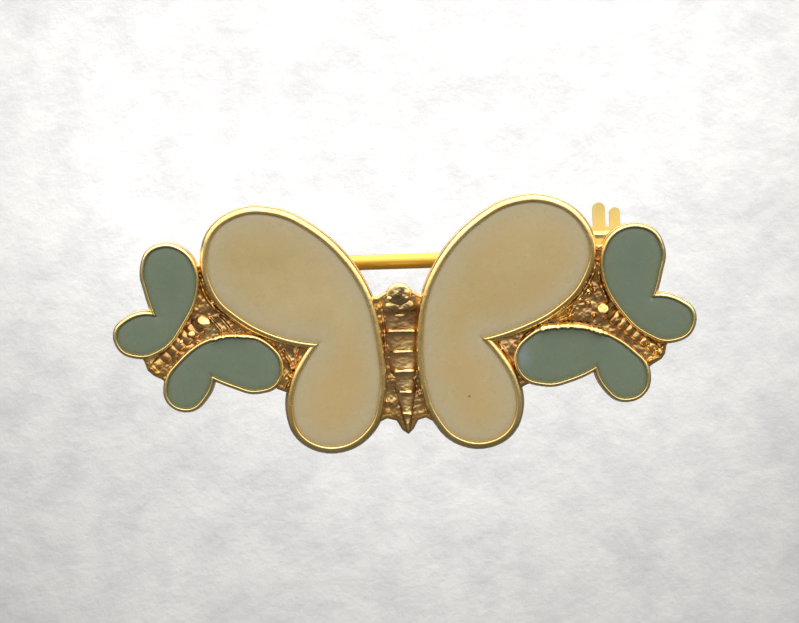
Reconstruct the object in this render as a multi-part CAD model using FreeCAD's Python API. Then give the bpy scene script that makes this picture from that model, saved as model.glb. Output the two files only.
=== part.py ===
"""Enamelled butterfly hair pin: a gold-plated casting with a hinged wire stem and a locking catch.

Millimetres. +X runs along the pin, the decorated face looks along -Y, and +Z is up as worn.
The origin is on the flat back face, at the middle of the casting.
"""

import math
import os

import FreeCAD
import Part
from FreeCAD import Vector

# Depths behind (+) and in front of (-) the back face.
FLOOR_Y = -0.8
GROUND_Y = -1.0
ENAMEL_Y = -1.5
RIM_Y = -1.6
SEAT_Y = 0.3
CREAM_RIM = 0.5
GREEN_RIM = 0.3
RIM_ROUND = 0.14

# Wire stem. The rest position is closed, with the tip in the catch.
STEM_RADIUS = 0.5
STEM_Y = 2.9
STEM_Z = 4.05
HINGE_X = -11.4
TIP_X = 15.9
TIP_RADIUS = 0.22
TAPER_X = 11.8
SHANK_END_RADIUS = 0.44
POINT_LENGTH = 1.0
NECK_X = (-10.5, -9.8)
NECK_RADIUS = 0.46
RUNNING_GAP = 0.05

# Hinge.
RIVET_RADIUS = 0.4
RIVET_HEAD_RADIUS = 0.7
RIVET_HEAD_HEIGHT = 0.25
EYE_RADIUS = 0.95
EAR_RADIUS = 1.0
EAR_THICKNESS = 0.4
EAR_INNER = STEM_RADIUS + RUNNING_GAP
BASE_THICKNESS = 0.4
SOLDER_SPREAD = 0.25
SOLDER_HEIGHT = 0.3
SEAT_MARGIN = 0.35

# Locking catch, on the stem's axis.
CATCH_X = 13.5
CATCH_LENGTH = 2.9
HOUSING_RADIUS = 1.75
HOUSING_BORE = 1.4
MOUTH_HALF = 0.62
FOOT_HALF = 0.55
FLANGE_HALF = 1.2
SLOT_LENGTH = 2.1
ROTOR_RADIUS = HOUSING_BORE - RUNNING_GAP
LEVER_HALF_THICKNESS = 0.32
PRONGS = ((12.6, 13.42, 7.55), (13.7, 14.4, 7.2))
LEVER_ROOT_TOP = 5.95

# Cells, in X and Z. Each outline starts and ends at its notch, and is a chain of tangent arcs.
CREAM_CELLS = {
    "cream_enamel_left": (
        (-5.6, -0.95), (-6.4, -2.05), (-7.1, -3.4), (-7.4, -5.1), (-6.85, -6.8), (-5.5, -7.6),
        (-3.9, -7.5), (-2.45, -6.4), (-1.75, -4.2), (-1.85, -1.0), (-2.45, 1.8), (-3.7, 4.1),
        (-5.8, 6.2), (-8.1, 7.4), (-10.3, 7.5), (-12.1, 6.4), (-12.65, 4.6), (-12.1, 2.4),
        (-10.4, 0.75), (-8.0, -0.45), (-5.6, -0.95),
    ),
    "cream_enamel_right": (
        (5.0, -0.92), (6.0, -2.15), (6.85, -3.7), (7.1, -5.4), (6.45, -6.95), (4.9, -7.65),
        (3.2, -7.25), (1.9, -5.7), (1.25, -3.4), (1.15, -0.8), (1.6, 1.9), (2.95, 4.5),
        (4.9, 6.45), (7.0, 7.6), (9.2, 7.75), (11.2, 6.7), (12.1, 4.8), (11.4, 2.5),
        (9.6, 0.8), (7.4, -0.25), (5.0, -0.92),
    ),
}
GREEN_CELLS = {
    "green_enamel_left_upper": (
        (-16.05, 1.15), (-16.5, 2.6), (-16.75, 4.1), (-16.3, 5.25), (-15.3, 5.6), (-14.1, 5.1),
        (-13.45, 3.9), (-13.55, 2.3), (-14.4, 0.6), (-15.6, -0.85), (-17.2, -1.35),
        (-18.4, -0.8), (-18.6, 0.15), (-17.8, 0.95), (-16.05, 1.15),
    ),
    "green_enamel_left_lower": (
        (-12.6, -2.8), (-13.0, -4.0), (-14.2, -4.9), (-15.3, -4.4), (-15.4, -3.1),
        (-14.4, -1.75), (-12.9, -0.7), (-11.0, -0.35), (-9.1, -0.85), (-8.15, -2.1),
        (-8.5, -3.45), (-9.7, -3.85), (-11.3, -3.4), (-12.6, -2.8),
    ),
    "green_enamel_right_upper": (
        (16.05, 1.4), (16.5, 2.9), (16.75, 4.4), (16.2, 5.55), (15.1, 5.95), (13.75, 5.5),
        (13.05, 4.3), (13.15, 2.4), (14.0, 0.8), (15.5, -0.75), (17.2, -1.35), (18.4, -0.8),
        (18.6, 0.3), (17.7, 1.1), (16.05, 1.4),
    ),
    "green_enamel_right_lower": (
        (12.4, -2.9), (12.8, -4.1), (14.1, -5.1), (15.35, -4.6), (15.55, -3.3), (14.4, -1.85),
        (12.6, -0.8), (10.4, -0.4), (8.4, -0.75), (7.25, -2.1), (7.6, -3.35), (9.1, -3.95),
        (10.9, -3.6), (12.4, -2.9),
    ),
}

# Webs between the rims. Only the short stretches that bridge two rims show as outline.
WEBS = (
    (
        (-2.6, 2.0), (-1.7, 1.95), (-1.1, 2.3), (0.5, 2.35), (1.0, 2.0), (1.9, 1.95), (2.2, -6.75),
        (1.75, -6.3), (1.2, -6.0), (0.7, -6.15), (0.4, -6.7), (0.05, -7.05), (-0.35, -6.75),
        (-0.7, -6.15), (-1.3, -5.98), (-1.9, -6.25), (-2.5, -6.9),
    ),
    (
        (-13.8, 4.5), (-13.2, 4.4), (-12.6, 4.9), (-6.0, -0.8), (-6.3, -2.5), (-7.2, -4.6),
        (-7.75, -4.1), (-8.4, -3.85), (-9.0, -2.8), (-14.5, -2.8), (-15.4, -3.4),
        (-15.85, -3.0), (-16.35, -2.75), (-16.75, -2.4), (-16.95, -1.8), (-17.2, -1.4), (-14.6, 1.0),
    ),
    (
        (13.3, 5.0), (12.7, 4.85), (12.2, 5.2), (5.4, -0.8), (5.8, -2.5), (7.0, -4.8),
        (7.6, -4.15), (8.2, -3.9), (9.0, -2.8), (14.5, -2.8), (15.5, -3.4),
        (16.0, -3.0), (16.6, -2.65), (16.85, -2.3), (16.95, -1.75), (17.3, -1.4), (14.4, 1.0),
    ),
)

# Bodies: (head, tail, head radius, (position along the axis, half width) of each rib).
LARGE_RIBS = ((0.25, 0.9), (0.395, 0.72), (0.54, 0.68), (0.695, 0.5), (0.85, 0.36))
SMALL_RIBS = tuple((0.22 + 0.115 * step, 0.42 - 0.02 * step) for step in range(7))
BODIES = (
    ((-0.3, 1.8), (0.05, -6.9), 0.95, LARGE_RIBS, 0.26),
    ((-13.0, 0.75), (-16.5, -2.35), 0.45, SMALL_RIBS, 0.16),
    ((12.9, 0.8), (16.55, -2.3), 0.45, SMALL_RIBS, 0.16),
)
BODY_AXIS_Y = -0.75
RIB_RISE = 1.15


def unit(x, z):
    length = math.hypot(x, z)
    return (x / length, z / length)


def circle_tangent(before, middle, after, at):
    """Direction, at one of three points, of the circle through them."""
    (x1, z1), (x2, z2), (x3, z3) = before, middle, after
    turn = (x2 - x1) * (z3 - z2) - (z2 - z1) * (x3 - x2)
    squares = [x * x + z * z for x, z in (before, middle, after)]
    scale = 2 * (x1 * (z2 - z3) + x2 * (z3 - z1) + x3 * (z1 - z2))
    centre_x = (squares[0] * (z2 - z3) + squares[1] * (z3 - z1) + squares[2] * (z1 - z2)) / scale
    centre_z = (squares[0] * (x3 - x2) + squares[1] * (x1 - x3) + squares[2] * (x2 - x1)) / scale
    x, z = unit(centre_z - at[1], at[0] - centre_x)
    return (x, z) if turn > 0 else (-x, -z)


def knot_tangents(knots):
    inner = [circle_tangent(*knots[i - 1 : i + 2], knots[i]) for i in range(1, len(knots) - 1)]
    first = circle_tangent(*knots[:3], knots[0])
    last = circle_tangent(*knots[-3:], knots[-1])
    return [first, *inner, last]


def biarc_joint(start, start_dir, end, end_dir):
    """Point where two arcs meet that leave start and reach end in the given directions."""
    span = (end[0] - start[0], end[1] - start[1])
    along = span[0] * (start_dir[0] + end_dir[0]) + span[1] * (start_dir[1] + end_dir[1])
    square = span[0] ** 2 + span[1] ** 2
    bend = 2 * (1 - start_dir[0] * end_dir[0] - start_dir[1] * end_dir[1])
    reach = square / (2 * along) if bend < 1e-9 else (math.sqrt(along**2 + bend * square) - along) / bend
    return tuple((start[i] + end[i] + reach * (start_dir[i] - end_dir[i])) / 2 for i in (0, 1))


def arc_middle(start, direction, end):
    """Middle of the arc that leaves start in a direction and reaches end."""
    chord = math.hypot(end[0] - start[0], end[1] - start[1])
    along = unit(end[0] - start[0], end[1] - start[1])
    cosine = direction[0] * along[0] + direction[1] * along[1]
    rise = chord / 2 / (1 + cosine)
    return tuple((start[i] + end[i]) / 2 + rise * (direction[i] - cosine * along[i]) for i in (0, 1))


def in_plane(point, y=0.0):
    return Vector(point[0], y, point[1])


def cell_wire(knots):
    directions = knot_tangents(knots)
    edges = []
    for i in range(len(knots) - 1):
        start, end = knots[i], knots[i + 1]
        joint = biarc_joint(start, directions[i], end, directions[i + 1])
        back = (-directions[i + 1][0], -directions[i + 1][1])
        for a, direction, b in ((start, directions[i], joint), (end, back, joint)):
            middle = arc_middle(a, direction, b)
            edges.append(Part.Arc(in_plane(a), in_plane(middle), in_plane(b)).toShape())
    return Part.Wire(Part.__sortEdges__(edges))


def prism(wire, near_y, far_y):
    """Solid with the outline of a wire drawn at y = 0, between two depths."""
    solid = Part.Face(wire).extrude(Vector(0, far_y - near_y, 0))
    solid.translate(Vector(0, near_y, 0))
    return solid


def polygon_prism(points, near_y, far_y):
    corners = [in_plane(point) for point in points]
    return prism(Part.makePolygon([*corners, corners[0]]), near_y, far_y)


def box(x, y, z):
    """Box from three (low, high) pairs."""
    size = [high - low for low, high in (x, y, z)]
    return Part.makeBox(*size, Vector(x[0], y[0], z[0]))


def rim_wires():
    """Outer edge of the metal round each cell."""
    wires = [cell_wire(knots).makeOffset2D(CREAM_RIM) for knots in CREAM_CELLS.values()]
    return wires + [cell_wire(knots).makeOffset2D(GREEN_RIM) for knots in GREEN_CELLS.values()]


def rim_block(wire):
    """The casting under and round one cell, rounded at the top of its rim."""
    block = prism(wire, 0, RIM_Y)
    top = [edge for edge in block.Edges if abs(edge.BoundBox.YMax - RIM_Y) < 1e-6]
    return block.makeFillet(RIM_ROUND, top)


def body_relief(head, tail, head_radius, ribs, rib_width):
    """Head dome, tapering abdomen and its cross ribs, all standing out of the ground."""
    start = in_plane(head, BODY_AXIS_Y)
    reach = in_plane(tail, BODY_AXIS_Y) - start
    direction = Vector(reach).normalize()
    widest, narrowest = ribs[0][1], ribs[-1][1]
    parts = [
        Part.makeSphere(head_radius, start + Vector(0, -0.35 * head_radius, 0)),
        Part.makeCone(widest * 0.85, narrowest * 0.6, reach.Length, start, direction),
    ]
    for position, half_width in ribs:
        centre = start + reach * position - direction * (rib_width / 2)
        parts.append(Part.makeCylinder(half_width * RIB_RISE, rib_width, centre, direction))
    relief = parts[0].multiFuse(parts[1:])
    return relief.common(box((-20, 20), (-3, FLOOR_Y), (-10, 10)))


def hinge_seat():
    half_x = EAR_RADIUS + SOLDER_SPREAD + SEAT_MARGIN
    half_z = EAR_INNER + EAR_THICKNESS + SOLDER_SPREAD + SEAT_MARGIN
    return box(
        (HINGE_X - half_x, HINGE_X + half_x), (0, SEAT_Y), (STEM_Z - half_z, STEM_Z + half_z)
    )


def catch_seat():
    """Seat under the catch, trimmed where it would stand out past the plate's edge."""
    half_x = CATCH_LENGTH / 2 + SOLDER_SPREAD + 0.05
    half_z = FLANGE_HALF + SOLDER_SPREAD + SEAT_MARGIN
    block = box(
        (CATCH_X - half_x, CATCH_X + half_x), (0, SEAT_Y), (STEM_Z - half_z, STEM_Z + half_z)
    )
    behind = [prism(wire, 0, SEAT_Y) for wire in rim_wires()]
    behind += [polygon_prism(points, 0, SEAT_Y) for points in WEBS]
    return block.common(behind[0].multiFuse(behind[1:]))


def cast_frame():
    blocks = [rim_block(wire) for wire in rim_wires()]
    webs = [polygon_prism(points, 0, GROUND_Y) for points in WEBS]
    plate = blocks[0].multiFuse(blocks[1:] + webs)
    seats = [hinge_seat(), catch_seat()]
    casting = plate.multiFuse([body_relief(*body) for body in BODIES] + seats)
    cells = [*CREAM_CELLS.values(), *GREEN_CELLS.values()]
    pockets = [prism(cell_wire(knots), FLOOR_Y, -4) for knots in cells]
    return casting.cut(Part.makeCompound(pockets)).removeSplitter()


def enamel(knots):
    return prism(cell_wire(knots), FLOOR_Y, ENAMEL_Y)


def ear(low_z):
    """Upright plate with a round end about the rivet, drilled for it."""
    round_end = Part.makeCylinder(EAR_RADIUS, EAR_THICKNESS, Vector(HINGE_X, STEM_Y, low_z))
    stalk = box(
        (HINGE_X - EAR_RADIUS, HINGE_X + EAR_RADIUS), (SEAT_Y, STEM_Y), (low_z, low_z + EAR_THICKNESS)
    )
    hole = Part.makeCylinder(RIVET_RADIUS, EAR_THICKNESS, Vector(HINGE_X, STEM_Y, low_z))
    return round_end.fuse(stalk).cut(hole)


def hinge_bracket():
    """Strip folded into a U: a base on the seat and two ears."""
    half_z = EAR_INNER + EAR_THICKNESS
    base = box(
        (HINGE_X - EAR_RADIUS, HINGE_X + EAR_RADIUS),
        (SEAT_Y, SEAT_Y + BASE_THICKNESS),
        (STEM_Z - half_z, STEM_Z + half_z),
    )
    ears = [ear(STEM_Z + EAR_INNER), ear(STEM_Z - half_z)]
    return base.multiFuse(ears).removeSplitter()


def hinge_rivet():
    reach = EAR_INNER + EAR_THICKNESS
    centre = Vector(HINGE_X, STEM_Y, STEM_Z - reach)
    shank = Part.makeCylinder(RIVET_RADIUS, 2 * reach, centre)
    heads = [
        Part.makeCylinder(RIVET_HEAD_RADIUS, RIVET_HEAD_HEIGHT, centre + Vector(0, 0, shift))
        for shift in (-RIVET_HEAD_HEIGHT, 2 * reach)
    ]
    rivet = shank.multiFuse(heads).removeSplitter()
    rims = [
        edge
        for edge in rivet.Edges
        if isinstance(edge.Curve, Part.Circle)
        and abs(edge.Curve.Radius - RIVET_HEAD_RADIUS) < 1e-6
        and abs(abs(edge.Curve.Center.z - STEM_Z) - reach - RIVET_HEAD_HEIGHT) < 1e-6
    ]
    return rivet.makeFillet(RIVET_HEAD_HEIGHT * 0.8, rims)


def pin_stem():
    """Wire with an eye round the rivet, a swaged neck, and a shank that thins to a blunt tip."""
    profile = [
        (HINGE_X, 0),
        (HINGE_X, STEM_RADIUS),
        (NECK_X[0], STEM_RADIUS),
        (sum(NECK_X) / 2, NECK_RADIUS),
        (NECK_X[1], STEM_RADIUS),
        (TAPER_X, STEM_RADIUS),
        (TIP_X - POINT_LENGTH, SHANK_END_RADIUS),
        (TIP_X - TIP_RADIUS / 2, TIP_RADIUS),
        (TIP_X, TIP_RADIUS / 2),
        (TIP_X, 0),
        (HINGE_X, 0),
    ]
    outline = Part.makePolygon([Vector(x, STEM_Y, STEM_Z + radius) for x, radius in profile])
    wire = Part.Face(outline).revolve(Vector(HINGE_X, STEM_Y, STEM_Z), Vector(1, 0, 0), 360)
    low = Vector(HINGE_X, STEM_Y, STEM_Z - STEM_RADIUS)
    eye = Part.makeCylinder(EYE_RADIUS, 2 * STEM_RADIUS, low)
    hole = Part.makeCylinder(RIVET_RADIUS + RUNNING_GAP, 2 * STEM_RADIUS, low)
    return eye.fuse(wire).cut(hole).removeSplitter()


def catch_span(length):
    return (CATCH_X - length / 2, CATCH_X + length / 2)


def catch_tube(radius, length):
    start = Vector(CATCH_X - length / 2, STEM_Y, STEM_Z)
    return Part.makeCylinder(radius, length, start, Vector(1, 0, 0))


def catch_housing():
    """Slotted C on a flanged foot, open to the back for the stem."""
    foot = box(catch_span(CATCH_LENGTH), (SEAT_Y, STEM_Y), (STEM_Z - FOOT_HALF, STEM_Z + FOOT_HALF))
    flange = box(
        catch_span(CATCH_LENGTH),
        (SEAT_Y, SEAT_Y + BASE_THICKNESS),
        (STEM_Z - FLANGE_HALF, STEM_Z + FLANGE_HALF),
    )
    shell = catch_tube(HOUSING_RADIUS, CATCH_LENGTH).multiFuse([foot, flange])
    mouth = box(
        catch_span(CATCH_LENGTH), (STEM_Y, STEM_Y + 3), (STEM_Z - MOUTH_HALF, STEM_Z + MOUTH_HALF)
    )
    slot = box(catch_span(SLOT_LENGTH), (STEM_Y - 0.6, STEM_Y + 3), (STEM_Z - 0.9, STEM_Z + 3))
    bore = catch_tube(HOUSING_BORE, CATCH_LENGTH)
    return shell.cut(Part.makeCompound([bore, mouth, slot])).removeSplitter()


def lever():
    """Forked thumb tab that stands up out of the housing's slot."""
    depth = (STEM_Y - LEVER_HALF_THICKNESS, STEM_Y + LEVER_HALF_THICKNESS)
    root_z = STEM_Z + STEM_RADIUS + 2 * RUNNING_GAP
    root = box(catch_span(SLOT_LENGTH - 2 * RUNNING_GAP), depth, (root_z, LEVER_ROOT_TOP))
    prongs = []
    for left, right, top in PRONGS:
        radius = (right - left) / 2
        prongs.append(box((left, right), depth, (root_z, top - radius)))
        centre = Vector(left + radius, depth[0], top - radius)
        prongs.append(Part.makeCylinder(radius, depth[1] - depth[0], centre, Vector(0, 1, 0)))
    return root.multiFuse(prongs)


def catch_rotor():
    """Slotted drum that turns about the stem, with its lever up when the catch is open."""
    drum = catch_tube(ROTOR_RADIUS, CATCH_LENGTH).fuse(lever())
    half = STEM_RADIUS + RUNNING_GAP
    bore = catch_tube(half, CATCH_LENGTH)
    channel = box(catch_span(CATCH_LENGTH), (STEM_Y, STEM_Y + 3), (STEM_Z - half, STEM_Z + half))
    return drum.cut(Part.makeCompound([bore, channel])).removeSplitter()


def solder_skirt(x, z):
    """Sloping fillet of solder round a rectangular foot on a seat."""
    outer = [
        Vector(x[i] + side * SOLDER_SPREAD, SEAT_Y, z[j] + edge * SOLDER_SPREAD)
        for i, j, side, edge in ((0, 0, -1, -1), (1, 0, 1, -1), (1, 1, 1, 1), (0, 1, -1, 1))
    ]
    inner = [Vector(x[i], SEAT_Y + SOLDER_HEIGHT, z[j]) for i, j in ((0, 0), (1, 0), (1, 1), (0, 1))]
    loops = [Part.makePolygon([*corners, corners[0]]) for corners in (outer, inner)]
    hole = box(x, (SEAT_Y - 1, SEAT_Y + 1), z)
    return Part.makeLoft(loops, True, True).cut(hole)


def nodes():
    hinge_half_z = EAR_INNER + EAR_THICKNESS
    made = {"cast_frame": cast_frame()}
    made.update({name: enamel(knots) for name, knots in {**CREAM_CELLS, **GREEN_CELLS}.items()})
    made["hinge_bracket"] = hinge_bracket()
    made["hinge_rivet"] = hinge_rivet()
    made["pin_stem"] = pin_stem()
    made["catch_housing"] = catch_housing()
    made["catch_rotor"] = catch_rotor()
    made["hinge_solder"] = solder_skirt(
        (HINGE_X - EAR_RADIUS, HINGE_X + EAR_RADIUS), (STEM_Z - hinge_half_z, STEM_Z + hinge_half_z)
    )
    made["catch_solder"] = solder_skirt(
        catch_span(CATCH_LENGTH), (STEM_Z - FLANGE_HALF, STEM_Z + FLANGE_HALF)
    )
    return made


os.makedirs("parts", exist_ok=True)
for node_name, shape in nodes().items():
    assert len(shape.Solids) == 1, node_name
    solid = shape.Solids[0]
    assert solid.isValid(), node_name
    solid.exportStep(f"parts/{node_name}.step")
    print(node_name, round(solid.Volume, 3), solid.BoundBox)
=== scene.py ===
import math

import bmesh
import bpy
import numpy as np
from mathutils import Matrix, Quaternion, Vector, noise
from mathutils.geometry import delaunay_2d_cdt


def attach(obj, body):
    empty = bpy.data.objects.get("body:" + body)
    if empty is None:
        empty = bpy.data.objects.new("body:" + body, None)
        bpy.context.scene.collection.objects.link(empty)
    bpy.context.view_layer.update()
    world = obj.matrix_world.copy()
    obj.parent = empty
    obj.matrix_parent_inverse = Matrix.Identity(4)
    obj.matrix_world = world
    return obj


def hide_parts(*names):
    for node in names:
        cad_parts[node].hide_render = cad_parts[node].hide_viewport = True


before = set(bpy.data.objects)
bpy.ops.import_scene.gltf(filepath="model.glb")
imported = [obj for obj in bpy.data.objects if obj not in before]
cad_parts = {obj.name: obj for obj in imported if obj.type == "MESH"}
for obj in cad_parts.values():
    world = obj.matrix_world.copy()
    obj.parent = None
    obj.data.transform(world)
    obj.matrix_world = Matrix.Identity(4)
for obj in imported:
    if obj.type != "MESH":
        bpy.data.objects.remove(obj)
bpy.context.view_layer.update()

MM = 0.001

CREAM_CELLS = ("cream_enamel_left", "cream_enamel_right")
GREEN_CELLS = (
    "green_enamel_left_upper",
    "green_enamel_left_lower",
    "green_enamel_right_upper",
    "green_enamel_right_lower",
)

# Depths in mm: the back face is 0 and the front is negative.
GROUND_Y = -1.0
FOOT_Y = -0.88
FACE_Y = -1.48

# Depths at which the CAD is cut for outlines: through the cells, the plate and the seats.
CELL_CUT = -1.2
PLATE_CUT = -0.5
SEAT_CUT = 0.15

# A turn sharper than this, in radians, is a corner. A fan of normals opens it out.
SHARP = 0.5
FAN_STEPS = 9

# Outlines are smoothed in steps of this part of a segment.
CURVE_STEP = 0.125

# Offsets are tried this far out, in steps, to find where two sides of a corner meet.
REACH = 0.52
REACH_STEP = 0.04

# Rim sections: (distance outside the cell, depth), from the enamel over the crest to the foot.
CREAM_RIM = (
    (-0.03, -1.2), (0.0, -1.42), (0.03, -1.54), (0.07, -1.59), (0.12, -1.597), (0.2, -1.575),
    (0.28, -1.53), (0.35, -1.46), (0.4, -1.36), (0.44, -1.16), (0.46, -0.8), (0.48, -0.4),
)
GREEN_RIM = (
    (-0.03, -1.2), (0.0, -1.43), (0.02, -1.53), (0.045, -1.58), (0.08, -1.596), (0.13, -1.575),
    (0.18, -1.52), (0.22, -1.43), (0.25, -1.25), (0.27, -0.8), (0.285, -0.4),
)
PLATE_EDGE = (
    (-0.34, GROUND_Y + 0.03), (-0.2, GROUND_Y), (-0.1, GROUND_Y + 0.01), (-0.04, GROUND_Y + 0.05),
    (0.0, -0.86), (0.0, -0.2), (-0.02, -0.09), (-0.07, -0.03), (-0.15, -0.005), (-0.4, -0.01),
)
SEAT_EDGE = ((0.0, -0.05), (0.0, 0.24), (-0.02, 0.28), (-0.06, 0.298), (-0.2, 0.298))
ENAMEL_EDGE = (
    (0.02, -1.0), (0.02, -1.36), (-0.03, -1.39), (-0.09, -1.42), (-0.18, -1.445), (-0.32, -1.463),
)

# Large body: the two ends of its axis, in X and Z, and how far X shifts for each mm down.
BODY_AXIS = ((-0.3, 1.9), (0.05, -6.95))
BODY_LEAN = 0.04

# Down the axis: (Z, half width, height over the ground).
BODY_STATIONS = (
    (1.9, 1.5, 0.36), (1.3, 1.5, 0.36), (0.9, 1.35, 0.31), (0.3, 1.3, 0.28), (-0.3, 1.3, 0.28),
    (-1.6, 1.15, 0.29), (-2.9, 1.05, 0.3), (-4.25, 0.8, 0.3), (-5.65, 0.5, 0.33),
    (-6.4, 0.3, 0.36), (-6.8, 0.16, 0.3), (-7.0, 0.06, 0.15),
)
# Cross ribs of the large body: (Z, half length). The first and last only end the hollows.
RIBS = ((1.0, 0.0), (-0.3, 0.92), (-1.6, 0.7), (-2.9, 0.69), (-4.25, 0.46), (-5.65, 0.33), (-7.0, 0.0))
# Depth of the hollow between two ribs, height of a rib's ends over the ground, and what its middle adds.
SCOOP_DEPTH = 0.11
RIB_SEAT = 0.1
RIB_STAND = 0.27

# Section of a rib: (rise, distance out). Its upper side slopes back to catch the light.
RIB_SECTION = (
    (0.15, -0.08), (0.12, -0.02), (0.06, 0.05), (0.0, 0.1), (-0.05, 0.13), (-0.08, 0.13), (-0.1, 0.1),
    (-0.11, 0.0), (-0.11, -0.12),
)

# Domes on the large body: (X, Z, half height, depth of its foot, bulge, stretch in X, lean).
HEAD_DOMES = (
    (-0.3, 2.1, 0.74, -1.2, 0.42, 1.1, 0.0), (-0.28, 1.38, 0.42, -1.12, 0.3, 2.2, 0.16),
    (-0.93, 1.88, 0.12, -1.5, 0.1, 1.4, 0.5), (0.17, 1.9, 0.12, -1.52, 0.1, 1.2, 0.5),
    (-0.42, 2.25, 0.08, -1.58, 0.07, 1.5, 0.5), (-0.3, 0.74, 0.14, -1.22, 0.13, 2.3, 0.6),
)

# Depth of the straight wall under each dome.
DOME_SKIRT = 0.3

# Small bodies: head, tail, rib height, and the head's radius, stretch and turn.
SMALL_BODIES = (
    ((-13.0, 0.75), (-16.45, -2.35), 0.13, 0.33, 1.5, -0.52),
    ((12.9, 0.8), (16.5, -2.25), 0.26, 0.38, 1.1, 0.0),
)
HEAD_LEAN = 0.5

# Ribs of a small body: where they start, half width, height between them, share lost by the tail,
# distance from one to the next, and what a rib adds to the half width.
SMALL_NECK = 0.45
SMALL_HALF = 0.56
SMALL_FOOT = 0.06
SMALL_TAPER = 0.45
SMALL_RIB_PITCH = 0.6
SMALL_RIB_FLARE = 0.08

# Round beads beside the small bodies: (X, Z, radius, stretch in X).
BEADS = (
    (-13.8, -0.05, 0.2, 1.25), (-14.5, -0.55, 0.13, 1.0),
    (13.75, 0.05, 0.12, 1.3), (11.95, 1.95, 0.12, 1.0),
)

# Relief of the webs: ridges are widened by the first factor, and all of it is raised by the second.
RIDGE_SPREAD = 1.4
RELIEF_GAIN = 1.6

# Ridges on the ground of the webs: (half width, rise, path).
RIDGES = (
    (0.09, 0.16, ((-12.95, 4.0), (-12.5, 2.6), (-11.6, 1.5), (-10.2, 0.55), (-9.0, -0.1), (-7.4, -0.75))),
    (0.08, 0.13, ((-13.25, 3.6), (-12.8, 2.3), (-12.1, 1.4), (-10.9, 0.6))),
    (0.06, 0.2, ((-12.05, 1.05), (-11.5, 0.4), (-11.05, -0.15))),
    (0.07, 0.14, ((-12.6, 0.9), (-12.1, 0.3), (-11.9, 0.0))),
    (0.08, 0.14, ((-7.9, -1.4), (-7.5, -2.2), (-7.45, -3.2), (-7.75, -3.8))),
    (0.07, 0.12, ((-6.9, -1.2), (-7.1, -1.9), (-7.2, -2.6))),
    (0.09, 0.14, ((12.5, 4.6), (12.35, 3.2), (11.7, 2.0), (10.9, 1.1), (9.4, 0.2))),
    (0.08, 0.12, ((12.75, 3.9), (12.7, 2.6), (13.2, 1.2))),
    (0.07, 0.14, ((11.0, 0.9), (10.6, 0.3), (10.0, 0.05))),
    (0.07, 0.12, ((6.1, -1.3), (6.6, -2.1), (7.1, -3.6))),
    (0.06, 0.12, ((7.5, -1.2), (8.0, -0.7), (8.9, -0.35))),
    (0.05, 0.1, ((-1.45, 1.4), (-1.3, -0.6), (-1.28, -2.6), (-1.4, -4.4), (-1.55, -5.6))),
    (0.05, 0.09, ((0.95, 0.9), (0.86, -1.2), (0.9, -3.4), (1.1, -5.0), (1.3, -5.7))),
    (0.04, 0.1, ((0.5, -3.4), (0.72, -4.1), (0.86, -4.6))),
)
# Rounded lumps on the ground of the webs: (X, Z, radius, rise).
NODULES = (
    (-7.4, -2.5, 0.17, 0.24), (-7.5, -3.05, 0.14, 0.22), (-13.45, -0.7, 0.14, 0.2), (-12.3, 1.9, 0.18, 0.14),
    (12.1, 2.3, 0.15, 0.26), (12.35, 1.95, 0.14, 0.2), (12.0, 1.7, 0.14, 0.22), (11.9, 1.15, 0.2, 0.18),
    (11.4, 1.35, 0.2, 0.16), (10.7, 0.35, 0.17, 0.26), (10.2, 0.8, 0.18, 0.16), (13.75, 0.1, 0.15, 0.26),
    (12.3, 0.3, 0.16, 0.2), (15.75, -1.75, 0.17, 0.24), (16.25, -2.1, 0.2, 0.26), (16.6, -2.25, 0.16, 0.22),
    (-16.5, -2.3, 0.22, 0.24), (-16.85, -1.95, 0.2, 0.2), (-16.2, -2.6, 0.18, 0.18), (16.7, -1.9, 0.2, 0.22),
    (6.2, -1.7, 0.13, 0.18), (-0.95, 1.3, 0.1, 0.1), (-16.5, -2.85, 0.24, 0.2), (-16.05, -3.0, 0.2, 0.18),
    (-15.65, -3.0, 0.16, 0.16), (16.3, -2.65, 0.22, 0.2), (15.9, -2.75, 0.2, 0.18),
    (-15.2, -2.35, 0.16, 0.14),
)

# Plating built up in lumps on the crest of a green rim: (cell, first X, last X, half width).
LUMPY_CRESTS = (
    ("green_enamel_right_lower", 8.1, 13.7, 0.16),
    ("green_enamel_left_lower", -12.8, -9.3, 0.13),
)

# Lumps are built out from this depth, only where the rim's normal points up by more than this.
LUMP_Y = -1.42
LUMP_FACING = 0.4

# Section of a lump: (reach from its middle, height). Its outer side slopes back to catch the light.
LUMP_SECTION = (
    (-1.0, -0.1), (-0.95, 0.18), (-0.8, 0.26), (-0.4, 0.24), (0.2, 0.15), (0.8, 0.04), (1.1, -0.15),
)

# Boxes that hold the three webs, as (low, high) in X and Z.
WEB_BOXES = (((-17.3, -4.9), (-5.7, 5.1)), ((-2.7, -7.2), (2.3, 2.6)), ((5.0, -5.0), (17.5, 5.4)))
WEB_STEP = 0.05

# The web starts this far outside a cell and inside the plate's edge, and rises from the edge strip.
WEB_INSET = 0.12
WEB_EDGE = 0.06
WEB_FADE = 0.22
WEB_DROP = 0.07

# Back face: grid step, distance inside the plate's edge, depth and unevenness.
BACK_STEP = 0.25
BACK_INSET = 0.14
BACK_Y = -0.03
BACK_UNEVEN = 0.018


# ---------------------------------------------------------------- outlines

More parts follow.
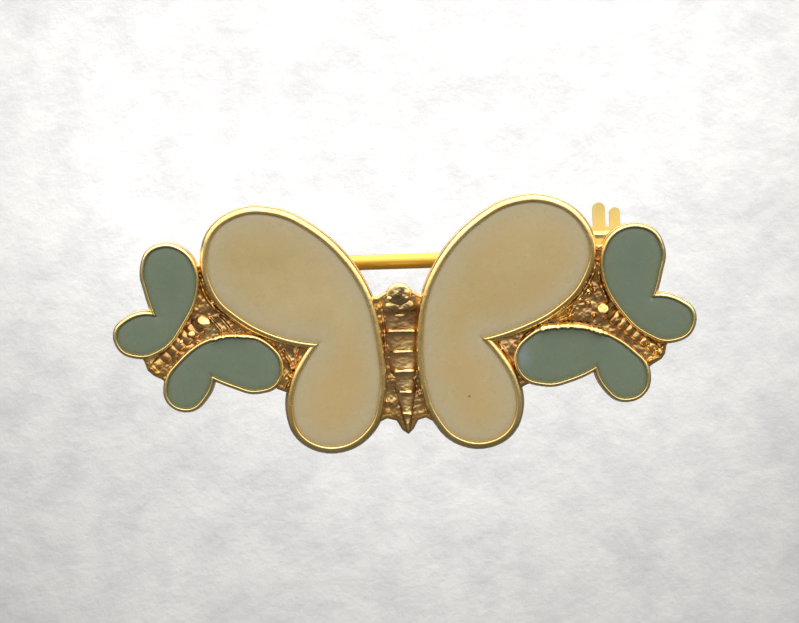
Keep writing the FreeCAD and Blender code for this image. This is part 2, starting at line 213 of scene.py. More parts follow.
def section_loops(node, depth):
    """Closed loops, in mm of X and Z, where a CAD node is cut by the plane Y = depth."""
    mesh = bmesh.new()
    mesh.from_mesh(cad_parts[node].data)
    bmesh.ops.remove_doubles(mesh, verts=mesh.verts, dist=1e-7)
    cut = bmesh.ops.bisect_plane(
        mesh,
        geom=[*mesh.verts, *mesh.edges, *mesh.faces],
        dist=1e-8,
        plane_co=(0, depth * MM, 0),
        plane_no=(0, 1, 0),
    )["geom_cut"]
    edges = [item for item in cut if isinstance(item, bmesh.types.BMEdge)]
    links = {}
    for edge in edges:
        a, b = edge.verts
        links.setdefault(a, []).append(b)
        links.setdefault(b, []).append(a)
    loops = []
    left = set(links)
    while left:
        start = min(left, key=lambda v: v.index)
        loop, here, before = [], start, None
        while here is not None and here in left:
            left.discard(here)
            loop.append((here.co.x / MM, here.co.z / MM))
            onward = [v for v in links[here] if v is not before and v in left]
            before, here = here, onward[0] if onward else None
        if len(loop) > 8:
            loops.append(anticlockwise(np.array(loop)))
    mesh.free()
    return sorted(loops, key=lambda loop: -abs(area(loop)))


def area(loop):
    """Area inside the loop, above 0 if it runs anticlockwise."""
    x, z = loop[:, 0], loop[:, 1]
    return 0.5 * float(np.sum(x * np.roll(z, -1) - np.roll(x, -1) * z))


def anticlockwise(loop):
    return loop if area(loop) > 0 else loop[::-1].copy()


def bends(loop):
    """Turning angle at each point, in radians."""
    ahead = np.roll(loop, -1, 0) - loop
    behind = loop - np.roll(loop, 1, 0)
    cross = behind[:, 0] * ahead[:, 1] - behind[:, 1] * ahead[:, 0]
    return np.arctan2(cross, np.sum(behind * ahead, 1))


def smooth_run(points, step):
    """Evenly spaced points on a smooth curve through an open run of points."""
    padded = np.vstack([2 * points[0] - points[1], points, 2 * points[-1] - points[-2]])
    fine = []
    for i in range(len(points) - 1):
        a, b, c, d = padded[i : i + 4]
        square = 2 * a - 5 * b + 4 * c - d
        cube = 3 * b - a - 3 * c + d
        for t in np.arange(0, 1, CURVE_STEP):
            fine.append(0.5 * (2 * b + (c - a) * t + square * t**2 + cube * t**3))
    fine = np.array([*fine, points[-1]])
    along = np.concatenate([[0], np.cumsum(np.linalg.norm(np.diff(fine, axis=0), axis=1))])
    count = max(2, int(round(along[-1] / step)) + 1)
    even = np.linspace(0, along[-1], count)
    return np.stack([np.interp(even, along, fine[:, k]) for k in (0, 1)], 1)


def ring(loop, step, side):
    """The loop as evenly spaced points with outward normals.

    Corners that open on the given side (-1 inward, 1 outward) get a fan of normals.
    """
    loop = loop[np.linalg.norm(np.roll(loop, -1, 0) - loop, axis=1) > 1e-4]
    turns = bends(loop)
    corners = np.flatnonzero(np.abs(turns) > SHARP)
    if len(corners) == 0:
        corners = np.array([0])
    points, normals = [], []
    for start, end in zip(corners, [*corners[1:], corners[0] + len(loop)]):
        run = smooth_run(loop[np.arange(start, end + 1) % len(loop)], step)
        slope = np.gradient(run, axis=0)
        headings = np.arctan2(-slope[:, 0], slope[:, 1])
        points.extend(run)
        normals.extend(headings)
        turn = turns[end % len(loop)]
        if turn * side > SHARP:
            steps = np.linspace(0, turn, FAN_STEPS)[1:-1]
            points.extend([run[-1]] * len(steps))
            normals.extend(headings[-1] + steps)
    return np.array(points), np.stack([np.cos(normals), np.sin(normals)], 1)


def offsets(loop, outline, profile):
    """Rows of points for a (outward, depth) profile, stopped where two sides of a corner meet."""
    points, normals = outline
    rows = []
    reach = {side: np.full(len(points), np.inf) for side in (-1, 1)}
    for side in reach:
        for out in np.arange(REACH_STEP, REACH, REACH_STEP):
            near = distance(points + side * out * normals, loop) < out - REACH_STEP / 2
            reach[side][near] = np.minimum(reach[side][near], out - REACH_STEP)
    outs, depths = zip(*profile)
    rising = all(a < b for a, b in zip(outs, outs[1:]))
    for out, depth in profile:
        held = np.clip(out, -reach[-1], reach[1])
        level = np.interp(held, outs, depths) if rising else np.full(len(points), depth)
        flat = points + held[:, None] * normals
        rows.append(np.stack([flat[:, 0], level, flat[:, 1]], 1))
    return rows


def inside(points, loop):
    """True for each point that lies within the loop."""
    x, z = points.T
    odd = np.zeros(len(points), bool)
    for (x1, z1), (x2, z2) in zip(loop, np.roll(loop, -1, 0)):
        if z1 != z2:
            odd ^= ((z1 > z) != (z2 > z)) & (x < (x2 - x1) * (z - z1) / (z2 - z1) + x1)
    return odd


def distance(points, path, closed=True):
    """Distance from each point to a path."""
    best = np.full(len(points), 1e9)
    ends = np.roll(path, -1, 0) if closed else path[1:]
    for a, b in zip(path, ends):
        span = b - a
        t = np.clip((points - a) @ span / max(span @ span, 1e-12), 0, 1)
        best = np.minimum(best, np.linalg.norm(points - a - t[:, None] * span, axis=1))
    return best


# ---------------------------------------------------------------- meshes

class Shape:
    """Vertices and faces collected in mm, then made into one object."""

    def __init__(self):
        self.points = []
        self.faces = []

    def grid(self, rows, closed=False, flip=False):
        """Surface through rows of points, all of one length."""
        start = len(self.points)
        width = len(rows[0])
        for row in rows:
            self.points.extend(tuple(point) for point in row)
        for i in range(len(rows) - 1):
            for j in range(width if closed else width - 1):
                a = start + i * width + j
                b = start + i * width + (j + 1) % width
                face = (a, b, b + width, a + width)
                self.faces.append(face[::-1] if flip else face)

    def sheet(self, points, faces, depths, flip=False):
        """Faces over flat points, each at its own depth."""
        start = len(self.points)
        self.points.extend((x, y, z) for (x, z), y in zip(points, depths))
        self.faces.extend(tuple(start + i for i in (face[::-1] if flip else face)) for face in faces)

    def make(self, name):
        """Smooth-shaded object of everything collected, with shared points joined."""
        mesh = bpy.data.meshes.new(name)
        mesh.from_pydata([(x * MM, y * MM, z * MM) for x, y, z in self.points], [], self.faces)
        mesh.validate()
        work = bmesh.new()
        work.from_mesh(mesh)
        bmesh.ops.remove_doubles(work, verts=work.verts, dist=2e-7)
        work.to_mesh(mesh)
        work.free()
        mesh.shade_smooth()
        obj = bpy.data.objects.new(name, mesh)
        bpy.context.scene.collection.objects.link(obj)
        return obj


def square_grid(low, high, step):
    """Points of a square grid over a box, and its cells as rows of four point indices."""
    xs = np.arange(low[0], high[0] + step, step)
    zs = np.arange(low[1], high[1] + step, step)
    points = np.stack([axis.ravel() for axis in np.meshgrid(xs, zs)], 1)
    index = np.arange(len(points)).reshape(len(zs), len(xs))
    corners = (index[:-1, :-1], index[:-1, 1:], index[1:, 1:], index[1:, :-1])
    return points, np.stack(corners, -1).reshape(-1, 4)


def kept(points, cells, good):
    """Only the cells whose four corners are good, with the points they use."""
    cells = cells[good[cells].all(1)]
    used = np.unique(cells)
    lookup = np.zeros(len(points), int)
    lookup[used] = np.arange(len(used))
    return points[used], lookup[cells].tolist()


def ruffle(x, z, scale, octaves=3, seed=0.0):
    """Smooth noise at a point, with the scale in waves per mm."""
    return noise.fractal(Vector((x * scale, seed, z * scale)), 0.8, 2.1, octaves)


def ruffles(points, scale, octaves=3, seed=0.0):
    return np.array([ruffle(x, z, scale, octaves, seed) for x, z in points])


def fill(outline, step=None):
    """Triangles that fill an outline, with inner points on a square grid if a step is given."""
    flat = [tuple(point) for point in outline]
    edges = [(i, (i + 1) % len(flat)) for i in range(len(flat))]
    if step:
        points, _ = square_grid(outline.min(0), outline.max(0), step)
        points = points[inside(points, outline)]
        points = points[distance(points, outline) > 0.5 * step]
        flat += [tuple(point) for point in points]
    found, _, faces, *_ = delaunay_2d_cdt([Vector(point) for point in flat], edges, [], 1, 1e-6)
    return np.array([tuple(point) for point in found]), faces


# ---------------------------------------------------------------- casting

def body_axis(ends):
    """Head, unit vectors along and across, and length of a body."""
    head, tail = map(np.array, ends)
    length = np.linalg.norm(tail - head)
    along = (tail - head) / length
    return head, along, np.array([along[1], -along[0]]), length


def arch(shape, stations, steps):
    """Swell over the ground through (centre, across, half width, height, fullness) stations."""
    rows = []
    for centre, across, half, height, fullness in stations:
        row = []
        for angle in np.linspace(-math.pi / 2, math.pi / 2, steps):
            x, z = centre + across * half * math.sin(angle)
            drop = max(0.0, math.cos(angle)) ** fullness
            uneven = 1 + 0.16 * ruffle(x, z, 1.7, 3, 6.0)
            row.append((x, FOOT_Y - (height * uneven + FOOT_Y - GROUND_Y) * drop, z))
        rows.append(row)
    shape.grid(rows, closed=True)


def scoop(z):
    """Hollow of the large body between one cross rib and the next below it."""
    for (top, _), (bottom, _) in zip(RIBS, RIBS[1:]):
        if bottom < z <= top:
            return SCOOP_DEPTH * math.sin(math.pi * ((top - z) / (top - bottom)) ** 0.5)
    return 0.0


def rib(shape, z, half):
    """Bar across the large body that faces up, its ends turned down into the ground."""
    centre = BODY_AXIS[0][0] + (BODY_AXIS[0][1] - z) * BODY_LEAN
    rows = []
    for x in np.linspace(-half, half, 40):
        drop = (1 - abs(x / half) ** 5) ** 0.5
        thick = (0.6 + 0.4 * drop) * (1 + 0.5 * ruffle(x, z, 2.2, 2, 3.0))
        top = GROUND_Y - RIB_SEAT - RIB_STAND * drop
        sag = z + 0.05 * ruffle(x, z, 0.9, 2, 8.0)
        rows.append([(centre + x, top - thick * out, sag + thick * rise) for rise, out in RIB_SECTION])
    shape.grid(rows)


def large_body(shape):
    """Body of the large butterfly: a low swell, its ribs, and the domes of its head."""
    head, along, across, _ = body_axis(BODY_AXIS)
    levels, halves, heights = zip(*BODY_STATIONS[::-1])
    stations = []
    for z in np.linspace(BODY_STATIONS[0][0], BODY_STATIONS[-1][0], 300):
        centre = head + along * (head[1] - z)
        half = np.interp(z, levels, halves)
        height = np.interp(z, levels, heights)
        stations.append((centre, across, half, height - scoop(z), 2.2))
    arch(shape, stations, 41)
    for z, half in RIBS[1:-1]:
        rib(shape, z, half)
    for x, z, radius, depth, bulge, stretch, lean in HEAD_DOMES:
        dome(shape, (x, z), radius, depth, bulge, stretch, lean)


def dome(shape, centre, radius, depth, bulge, stretch=1.0, lean=0.0, turn=0.0):
    """Swelling with a flattened top. Lean tips its face upward, as a slope of depth over height."""
    rows = []
    for polar in np.linspace(0.02, math.pi / 2, 22):
        around = np.linspace(0, 2 * math.pi, 36, endpoint=False)
        u = radius * stretch * math.sin(polar) * np.cos(around)
        v = radius * math.sin(polar) * np.sin(around)
        x = centre[0] + u * math.cos(turn) - v * math.sin(turn)
        z = centre[1] + u * math.sin(turn) + v * math.cos(turn)
        wave = np.array([1 + 0.22 * ruffle(a, b, 2.1, 3, 1.0) for a, b in zip(x, z)])
        y = depth - bulge * wave * max(0.0, math.cos(polar)) ** 0.6 + lean * (z - centre[1])
        rows.append(np.stack([x, y, z], 1))
    rows.append(rows[-1] + (0, DOME_SKIRT, 0))
    rows.append(np.tile(rows[-1].mean(0), (len(around), 1)))
    shape.grid(rows, closed=True, flip=True)


def small_body(shape, head, tail, height, radius, stretch, turn):
    """Body of a small butterfly: a round head and a tapering row of ribs."""
    head, along, across, length = body_axis((head, tail))
    dome(shape, head, radius, GROUND_Y - 0.14, 0.7 * radius, stretch, HEAD_LEAN, turn)
    stations = []
    for s in np.linspace(SMALL_NECK, length, 240):
        wave = abs(math.cos(math.pi * (s - SMALL_NECK) / SMALL_RIB_PITCH)) ** 0.7
        taper = 1 - SMALL_TAPER * s / length
        centre = head + along * s
        lump = 0.05 * ruffle(*centre, 2.5, 2, 4.0)
        half = (SMALL_HALF + SMALL_RIB_FLARE * wave) * taper
        stations.append((centre, across, half, (SMALL_FOOT + height * wave) * taper**0.5 + lump, 0.8))
    arch(shape, stations, 21)


def relief(points):
    """Height over the ground of the ridges and nodules in the webs."""
    height = np.zeros(len(points))
    for half, rise, path in RIDGES:
        near = distance(points, smooth_run(np.array(path), 0.15), closed=False)
        height = np.maximum(height, rise * np.clip(1 - (near / (RIDGE_SPREAD * half)) ** 2, 0, 1) ** 0.8)
    for x, z, radius, rise in NODULES:
        near = np.linalg.norm(points - (x, z), axis=1)
        height = np.maximum(height, rise * np.clip(1 - (near / radius) ** 2, 0, 1) ** 0.6)
    return height


def web(shape, low, high, silhouette, cells):
    """Rough sunk ground between the rims."""
    points, squares = square_grid(low, high, WEB_STEP)
    good = inside(points, silhouette)
    for cell in cells:
        good[good] = ~inside(points[good], cell)
    for cell in cells:
        good[good] = distance(points[good], cell) > WEB_INSET
    good[good] = distance(points[good], silhouette) > WEB_EDGE
    points, faces = kept(points, squares, good)
    rough = 0.1 * ruffles(points, 1.0) - 0.04 * np.abs(ruffles(points, 3.0, 2, 7.0))
    bumps = RELIEF_GAIN * relief(points) * (1 + 0.35 * ruffles(points, 2.6, 2, 5.0))
    fade = np.clip((distance(points, silhouette) - WEB_EDGE) / WEB_FADE, 0, 1)
    shape.sheet(points, faces, GROUND_Y + WEB_DROP - fade * (WEB_DROP + bumps + rough))


def back(shape, silhouette):
    """Flat back, faintly uneven as cast."""
    points, squares = square_grid(silhouette.min(0), silhouette.max(0), BACK_STEP)
    good = inside(points, silhouette)
    good[good] = distance(points[good], silhouette) > BACK_INSET
    points, faces = kept(points, squares, good)
    shape.sheet(points, faces, BACK_Y + BACK_UNEVEN * ruffles(points, 0.8, 4, 3.0), flip=True)


def lumpy_crest(shape, cell, first, last, half):
    """Plating built up in lumps along the top of a rim, between two values of X."""
    points, normals = ring(cell, 0.07, 1)
    there = (points[:, 0] > first) & (points[:, 0] < last) & (normals[:, 1] > LUMP_FACING)
    points, normals = points[there], normals[there]
    order = np.argsort(points[:, 0])
    points, normals = points[order], normals[order]
    rows = []
    for i, ((x, z), (nx, nz)) in enumerate(zip(points, normals)):
        fade = min(1.0, 8 * i / len(points), 8 * (len(points) - 1 - i) / len(points))
        swell = fade * (1 + 0.9 * ruffle(x, z, 3.1, 3, 2.0))
        row = []
        for out, height in LUMP_SECTION:
            reach = half * (1 + swell * out)
            row.append((x + nx * reach, LUMP_Y - height * swell, z + nz * reach))
        rows.append(row)
    shape.grid(rows, flip=True)


def casting():
    """The whole gold plate: rims, edge, webs, back, seats and bodies."""
    shape = Shape()
    silhouette = section_loops("cast_frame", PLATE_CUT)[0]
    cells = {name: section_loops(name, CELL_CUT)[0] for name in (*CREAM_CELLS, *GREEN_CELLS)}
    for name, cell in cells.items():
        profile = CREAM_RIM if name in CREAM_CELLS else GREEN_RIM
        shape.grid(offsets(cell, ring(cell, 0.08, 1), profile), closed=True, flip=True)
    shape.grid(offsets(silhouette, ring(silhouette, 0.1, -1), PLATE_EDGE), closed=True, flip=True)
    for low, high in WEB_BOXES:
        web(shape, low, high, silhouette, cells.values())
    back(shape, silhouette)
    for seat in section_loops("cast_frame", SEAT_CUT):
        rows = offsets(seat, ring(seat, 0.15, -1), SEAT_EDGE)
        shape.grid(rows, closed=True, flip=True)
        points, faces = fill(rows[-1][:, [0, 2]])
        shape.sheet(points, faces, np.full(len(points), SEAT_EDGE[-1][1]), flip=True)
    large_body(shape)
    for body in SMALL_BODIES:
        small_body(shape, *body)
    for x, z, radius, stretch in BEADS:
        dome(shape, (x, z), radius, GROUND_Y - 0.18, 0.7 * radius, stretch, HEAD_LEAN)
    for name, first, last, half in LUMPY_CRESTS:
        lumpy_crest(shape, cells[name], first, last, half)
    return shape.make("casting")


def enamel(name):
    """Fill of one cell: nearly flat, drawn down a little where it meets the metal."""
    shape = Shape()
    cell = section_loops(name, CELL_CUT)[0]
    rows = offsets(cell, ring(cell, 0.1, -1), ENAMEL_EDGE)
    shape.grid(rows, closed=True)
    points, faces = fill(rows[-1][:, [0, 2]], 0.3)
    edge_y = ENAMEL_EDGE[-1][1]
    swell = np.clip((distance(points, cell) + ENAMEL_EDGE[-1][0]) / 2.5, 0, 1)
    wave = 0.006 * ruffles(points, 0.5, 2, 9.0) * np.minimum(1, 4 * swell)
    shape.sheet(points, faces, edge_y - 0.03 * np.sin(swell * math.pi / 2) + wave)
    return shape.make(name.replace("enamel", "fill"))


# ---------------------------------------------------------------- materials

class Nodes:
    """Short way to wire up a procedural material."""

    def __init__(self, name):
        self.material = bpy.data.materials.new(name)
        self.material.use_nodes = True
        self.tree = self.material.node_tree
        self.tree.nodes.clear()
        self.output = self.tree.nodes.new("ShaderNodeOutputMaterial")
        self.shader = self.tree.nodes.new("ShaderNodeBsdfPrincipled")
        self.link(self.shader.outputs[0], self.output.inputs[0])
        self.coords = self.tree.nodes.new("ShaderNodeTexCoord").outputs["Object"]

    def link(self, a, b):
        self.tree.links.new(a, b)

    def set(self, **values):
        for key, value in values.items():
            self.shader.inputs[key.replace("_", " ")].default_value = value

    def noise(self, scale, detail=4.0, rough=0.55, stretch=None):
        node = self.tree.nodes.new("ShaderNodeTexNoise")
        node.inputs["Scale"].default_value = scale
        node.inputs["Detail"].default_value = detail
        node.inputs["Roughness"].default_value = rough
        source = self.coords
        if stretch:
            mapping = self.tree.nodes.new("ShaderNodeMapping")
            mapping.inputs["Scale"].default_value = stretch
            self.link(source, mapping.inputs[0])
            source = mapping.outputs[0]
        self.link(source, node.inputs["Vector"])
        return node.outputs[0]

    def ramp(self, value, *stops):
        node = self.tree.nodes.new("ShaderNodeValToRGB")
        ramp = node.color_ramp
        while len(ramp.elements) < len(stops):
            ramp.elements.new(0.5)
        for element, (position, colour) in zip(ramp.elements, stops):
            element.position = position
            element.color = (*colour, 1) if isinstance(colour, tuple) else (colour,) * 3 + (1,)
        self.link(value, node.inputs[0])
        return node.outputs[0]

    def mix(self, factor, a, b, mode="MIX"):
        node = self.tree.nodes.new("ShaderNodeMix")
        node.data_type = "RGBA"
        node.blend_type = mode
        for socket, value in ((node.inputs[0], factor), (node.inputs[6], a), (node.inputs[7], b)):
            if hasattr(value, "is_output"):
                self.link(value, socket)
            else:
                socket.default_value = (*value, 1) if isinstance(value, tuple) else value
        return node.outputs[2]

    def depth(self, near, far):
        """0 at one depth of Y, in mm, and 1 at the other."""
        split = self.tree.nodes.new("ShaderNodeSeparateXYZ")
        self.link(self.coords, split.inputs[0])
        node = self.tree.nodes.new("ShaderNodeMapRange")
        node.inputs["From Min"].default_value = near * MM
        node.inputs["From Max"].default_value = far * MM
        self.link(split.outputs["Y"], node.inputs[0])
        return node.outputs[0]

    def around(self, point, inner, outer):
        """1 within the inner distance of a point, in mm, falling to 0 at the outer distance."""
        gap = self.tree.nodes.new("ShaderNodeVectorMath")
        gap.operation = "DISTANCE"
        gap.inputs[1].default_value = [value * MM for value in point]
        self.link(self.coords, gap.inputs[0])
        node = self.tree.nodes.new("ShaderNodeMapRange")
        node.inputs["From Min"].default_value = outer * MM
        node.inputs["From Max"].default_value = inner * MM
        self.link(gap.outputs["Value"], node.inputs[0])
        return node.outputs[0]

    def near(self, centre, radius):
        """1 at a point on the face, in mm of X and Z, and 0 beyond a radius round it."""
        return self.around((centre[0], FACE_Y, centre[1]), 0.0, radius)

    def bump(self, height, strength, reach):
        node = self.tree.nodes.new("ShaderNodeBump")
        node.inputs["Strength"].default_value = strength
        node.inputs["Distance"].default_value = reach * MM
        self.link(height, node.inputs["Height"])
        self.link(node.outputs[0], self.shader.inputs["Normal"])


PALE_GOLD = (0.96, 0.77, 0.36)
DEEP_GOLD = (0.88, 0.6, 0.2)
COPPER = (0.72, 0.42, 0.17)
UMBER = (0.42, 0.2, 0.08)
AMBER = (1.0, 0.6, 0.14)
# Patches as ((X, Z), radius): painted highlight where the web ground looks lit, and painted shade round the
# large head.
PAINTED_LIGHT_SPOTS = (
    ((10.4, 0.8), 1.3), ((-1.8, 1.8), 0.9), ((1.4, 1.8), 0.9), ((-1.3, -5.8), 1.0), ((1.3, -5.8), 1.0),
    ((-13.1, 2.2), 1.1), ((-16.3, -2.7), 1.4), ((16.3, -2.5), 1.2), ((-7.7, -3.4), 1.1),
)
# Painted shade: dark brown laid on the plating round the head and neck of the large body, and below each of
# its ribs.
PAINTED_SHADE = (0.34, 0.21, 0.1)
PAINTED_SHADE_SPOTS = (((-0.35, 2.0), 1.0), ((-0.3, 0.7), 1.3), ((-0.3, 0.2), 1.2))


def cast_gold():
    """Bright plating on the crests; coppery and dull in the sunk ground, as worn plating and as painted
    shade; painted shade and highlights in patches.
    """
    made = Nodes("cast_gold")
    made.set(Metallic=1.0)
    plated = made.ramp(made.noise(260), (0.35, PALE_GOLD), (0.7, DEEP_GOLD))
    # Painted shadow: a dark patch just below each rib of the large body.
    shadow_under_ribs = [((BODY_AXIS[0][0], z - 0.3), 0.5 + 0.5 * half) for z, half in RIBS[1:-1]]
    for centre, radius in (*PAINTED_SHADE_SPOTS, *shadow_under_ribs):
        plated = made.mix(made.near(centre, radius), plated, PAINTED_SHADE)
    ground = made.ramp(made.noise(520, 4), (0.35, COPPER), (0.65, UMBER))
    # Painted highlight: orange-gold patches where the web ground catches the light.
    for centre, radius in PAINTED_LIGHT_SPOTS:
        ground = made.mix(made.near(centre, radius), ground, AMBER)
    # The sunk ground gets copper and umber as worn plating, and partly as painted shade of the recesses.
    sunk = made.ramp(made.depth(-1.4, -0.9), (0.0, 0.0), (0.6, 0.85), (0.86, 0.85), (0.96, 0.0))
    made.link(made.mix(sunk, plated, ground), made.shader.inputs["Base Color"])
    rough = made.ramp(made.noise(1500, 3), (0.3, 0.15), (0.75, 0.34))
    made.link(rough, made.shader.inputs["Roughness"])
    made.bump(made.noise(4200, 5, 0.6), 0.3, 0.04)
    return made.material


def smooth_gold(name, colour, low, high, stretch=None, metallic=1.0):
    """Plated wire or strip, with roughness between two values."""
    made = Nodes(name)
    made.set(Metallic=metallic)
    tone = made.ramp(made.noise(330, stretch=stretch), (0.3, colour), (0.75, DEEP_GOLD))
    made.link(made.mix(0.35, colour, tone), made.shader.inputs["Base Color"])
    rough = made.ramp(made.noise(2200, 3, stretch=stretch), (0.3, low), (0.75, high))
    made.link(rough, made.shader.inputs["Roughness"])
    made.bump(made.noise(6000, 4, 0.6, stretch), 0.2, 0.02)
    return made.material


def glassy(name, pale, light, dark, tint, spot):
    """Opaque enamel: paler round the edge, clouded within, with fine specks and one odd spot, which on the
    green is a painted bluish highlight.
    """
    made = Nodes(name)
    clouds = made.ramp(made.noise(190, 4, 0.55), (0.36, light), (0.62, dark))
    tinted = made.mix(made.ramp(made.noise(85, 3), (0.42, 0.0), (0.6, 0.85)), clouds, tint)
    washed = made.mix(made.ramp(made.depth(-1.462, -1.49), (0.0, 0.0), (1.0, 1.0)), pale, tinted)
    specks = made.ramp(made.noise(5200, 2, 0.5), (0.3, 0.93), (0.42, 1.0))
    mottled = made.mix(1.0, washed, specks, "MULTIPLY")
    centre, radius, colour = spot
    made.link(made.mix(made.near(centre, radius), mottled, colour), made.shader.inputs["Base Color"])
    made.link(made.ramp(made.noise(900, 3), (0.3, 0.2), (0.7, 0.32)), made.shader.inputs["Roughness"])
    made.set(Subsurface_Weight=0.1, Subsurface_Scale=0.3 * MM, IOR=1.5)
    made.bump(made.noise(700, 3, 0.5), 0.1, 0.03)
    return made.material


# ---------------------------------------------------------------- assembly

def add_bevel(obj, width):
    """Soften the edges of a CAD object by a width in mm."""
    bevel = obj.modifiers.new("softened edges", "BEVEL")
    bevel.width = width * MM
    bevel.segments = 3
    bevel.limit_method = "ANGLE"
    bevel.angle_limit = math.radians(35)
    bevel.harden_normals = False
    # The weld goes first: it joins the CAD's facets so that the bevel sees their edges.
    weld = obj.modifiers.new("weld", "WELD")
    weld.merge_threshold = 1e-7
    obj.modifiers.move(1, 0)


def dress(node, material, width):
    """Give a CAD object its material and softened edges."""
    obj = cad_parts[node]
    obj.data.materials.clear()
    obj.data.materials.append(material)
    add_bevel(obj, width)


def put(obj, material, node):
    """Show a piece in place of a CAD node of the frame body."""
    obj.data.materials.append(material)
    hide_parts(node)
    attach(obj, "frame")


put(casting(), cast_gold(), "cast_frame")
cream = glassy(
    "cream_enamel",
    (0.61, 0.515, 0.315),
    (0.67, 0.53, 0.275),
    (0.58, 0.45, 0.205),
    (0.65, 0.475, 0.22),
    ((4.05, -4.65), 0.12, (0.15, 0.1, 0.05)),
)
green = glassy(
    "green_enamel",
    (0.215, 0.265, 0.185),
    (0.205, 0.27, 0.185),
    (0.18, 0.238, 0.16),
    (0.19, 0.25, 0.185),
    # Painted highlight: a pale bluish patch at the left tip of the lower right green cell.
    ((7.2, -2.1), 1.2, (0.3, 0.36, 0.36)),
)
for cell_name in CREAM_CELLS:
    put(enamel(cell_name), cream, cell_name)
for cell_name in GREEN_CELLS:
    put(enamel(cell_name), green, cell_name)

wire = smooth_gold("wire_gold", (1.0, 0.56, 0.07), 0.28, 0.38, (0.1, 1, 1), 0.6)
strip = smooth_gold("strip_gold", (0.92, 0.71, 0.34), 0.18, 0.36)
# Painted light: a lighter copy of the gold, half metallic and rough, that stands in for the bright light on
# the catch.
brightened_gold = smooth_gold("brightened_catch_gold", (1.0, 0.84, 0.34), 0.4, 0.52, metallic=0.5)
dress("pin_stem", wire, 0.05)
dress("hinge_bracket", strip, 0.06)
dress("hinge_rivet", strip, 0.03)
dress("catch_housing", brightened_gold, 0.05)
dress("catch_rotor", brightened_gold, 0.16)
dress("hinge_solder", strip, 0.02)
dress("catch_solder", strip, 0.02)


# ---------------------------------------------------------------- stage

# Cloth, in mm: a floor that rises to a backdrop. Run and width are (first, last, count).
# It is painted white only near one point behind the pin and dark beyond, as a pool of light: (point, white
# within, dark beyond).
CLOTH_RUN = (-600, 1100, 171)
CLOTH_WIDTH = (-700, 700, 141)
FLOOR_Z = -330
RISE_FROM = 230
RISE_RADIUS = 250
PUFF = 2.5
PAINTED_LIGHT_PATCH = ((0, 480, 20), 60, 260)

# Camera: lengths in metres, angles in radians, lens and sensor in mm.
CAMERA_LENS = 150
CAMERA_SENSOR = 36
CAMERA_REACH = 0.2167
CAMERA_TARGET = Vector((-0.0003, 0, 0.0009))
CAMERA_RISE = math.radians(3)
CAMERA_ROLL = math.radians(1.75)

# Surroundings: grey level by the height and by the depth (+Y) of a direction.
SKY_STRENGTH = 2.45
SKY_BY_HEIGHT = ((-1.0, 0.12), (-0.4, 0.1), (0.0, 0.12), (0.22, 0.26), (0.42, 0.8), (1.0, 1.0))
SKY_BY_DEPTH = ((-1.0, 0.8), (-0.4, 0.9), (0.2, 1.0), (1.0, 1.0))


def cloth():
    """White fleece: a floor well below the pin that rises to a backdrop far behind it."""
    shape = Shape()
    rows = []
    for run in np.linspace(*CLOTH_RUN):
        y, z = run, FLOOR_Z
        if run > RISE_FROM:
            angle = min((run - RISE_FROM) / RISE_RADIUS, math.pi / 2)
            over = max(0.0, run - RISE_FROM - RISE_RADIUS * math.pi / 2)
            y = RISE_FROM + RISE_RADIUS * math.sin(angle)
            z = FLOOR_Z + RISE_RADIUS * (1 - math.cos(angle)) + over
        row = []
        for x in np.linspace(*CLOTH_WIDTH):
            puff = PUFF * noise.noise(Vector((x * 0.02, run * 0.02, 1.0)))
            row.append((x, y - puff * (z > FLOOR_Z), z + puff * (z <= FLOOR_Z)))
        rows.append(row)
    shape.grid(rows)
    obj = shape.make("cloth")
    made = Nodes("fleece")
    blotch = made.noise(110, 6, 0.62)
    tone = made.ramp(blotch, (0.34, (0.8, 0.8, 0.81)), (0.6, (0.92, 0.92, 0.92)))
    # Painted light: the cloth is white round one point and fades to near black away from it.
    shaded = made.ramp(made.around(*PAINTED_LIGHT_PATCH), (0.0, 0.08), (1.0, 1.0))
    made.link(made.mix(1.0, tone, shaded, "MULTIPLY"), made.shader.inputs["Base Color"])
    made.set(Roughness=0.95)
    made.bump(made.noise(240, 6, 0.65), 0.16, 3.0)
    obj.data.materials.append(made.material)


def gradient(tree, value, stops):
    """Grey levels along a direction component that runs from -1 to 1."""
    shift = tree.nodes.new("ShaderNodeMapRange")
    shift.inputs["From Min"].default_value = -1
    ramp = tree.nodes.new("ShaderNodeValToRGB")
    tree.links.new(value, shift.inputs[0])
    tree.links.new(shift.outputs[0], ramp.inputs[0])
    for _ in stops[2:]:
        ramp.color_ramp.elements.new(0.5)
    for element, (position, level) in zip(ramp.color_ramp.elements, stops):
        element.position = (position + 1) / 2
        element.color = (level, level * 0.99, level * 0.97, 1)
    return ramp.outputs[0]


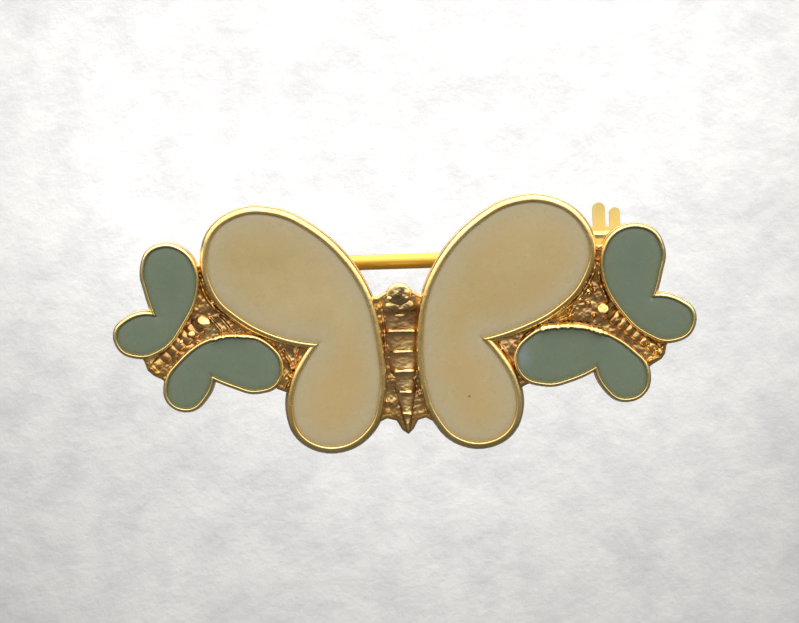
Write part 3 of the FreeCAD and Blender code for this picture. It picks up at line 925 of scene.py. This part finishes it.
def sky():
    """Surroundings: bright overhead, dim in front of the face and dimmer below it."""
    world = bpy.data.worlds.new("studio")
    bpy.context.scene.world = world
    world.use_nodes = True
    tree = world.node_tree
    background = tree.nodes["Background"]
    split = tree.nodes.new("ShaderNodeSeparateXYZ")
    tree.links.new(tree.nodes.new("ShaderNodeTexCoord").outputs["Generated"], split.inputs[0])
    height = gradient(tree, split.outputs["Z"], SKY_BY_HEIGHT)
    facing = gradient(tree, split.outputs["Y"], SKY_BY_DEPTH)
    product = tree.nodes.new("ShaderNodeMix")
    product.data_type = "RGBA"
    product.blend_type = "MULTIPLY"
    product.inputs[0].default_value = 1.0
    tree.links.new(height, product.inputs[6])
    tree.links.new(facing, product.inputs[7])
    tree.links.new(product.outputs[2], background.inputs["Color"])
    background.inputs["Strength"].default_value = SKY_STRENGTH


def lamp(name, location, aim, size, power):
    """Soft square light at a location, aimed at a point. Lengths in metres."""
    data = bpy.data.lights.new(name, "AREA")
    data.size = size
    data.energy = power
    obj = bpy.data.objects.new(name, data)
    obj.location = location
    obj.rotation_euler = (Vector(aim) - Vector(location)).to_track_quat("-Z", "Y").to_euler()
    obj.visible_camera = False
    bpy.context.scene.collection.objects.link(obj)


def camera():
    """Long lens square to the face, a little above it and rolled as the pin is held."""
    data = bpy.data.cameras.new("camera")
    data.lens = CAMERA_LENS
    data.sensor_width = CAMERA_SENSOR
    data.clip_start = 0.01
    obj = bpy.data.objects.new("camera", data)
    offset = Vector((0, -math.cos(CAMERA_RISE), math.sin(CAMERA_RISE))) * CAMERA_REACH
    obj.location = CAMERA_TARGET + offset
    obj.rotation_mode = "QUATERNION"
    obj.rotation_quaternion = (-offset).to_track_quat("-Z", "Y") @ Quaternion((0, 0, 1), -CAMERA_ROLL)
    bpy.context.scene.collection.objects.link(obj)
    bpy.context.scene.camera = obj


cloth()
sky()
lamp("key", (0.03, -0.1, 0.32), (0, 0, 0), 0.24, 0.2)
lamp("backdrop", (0.0, 0.26, 0.22), (0, 0.48, 0.06), 0.15, 0.55)
camera()
bpy.context.scene.view_settings.view_transform = "Standard"
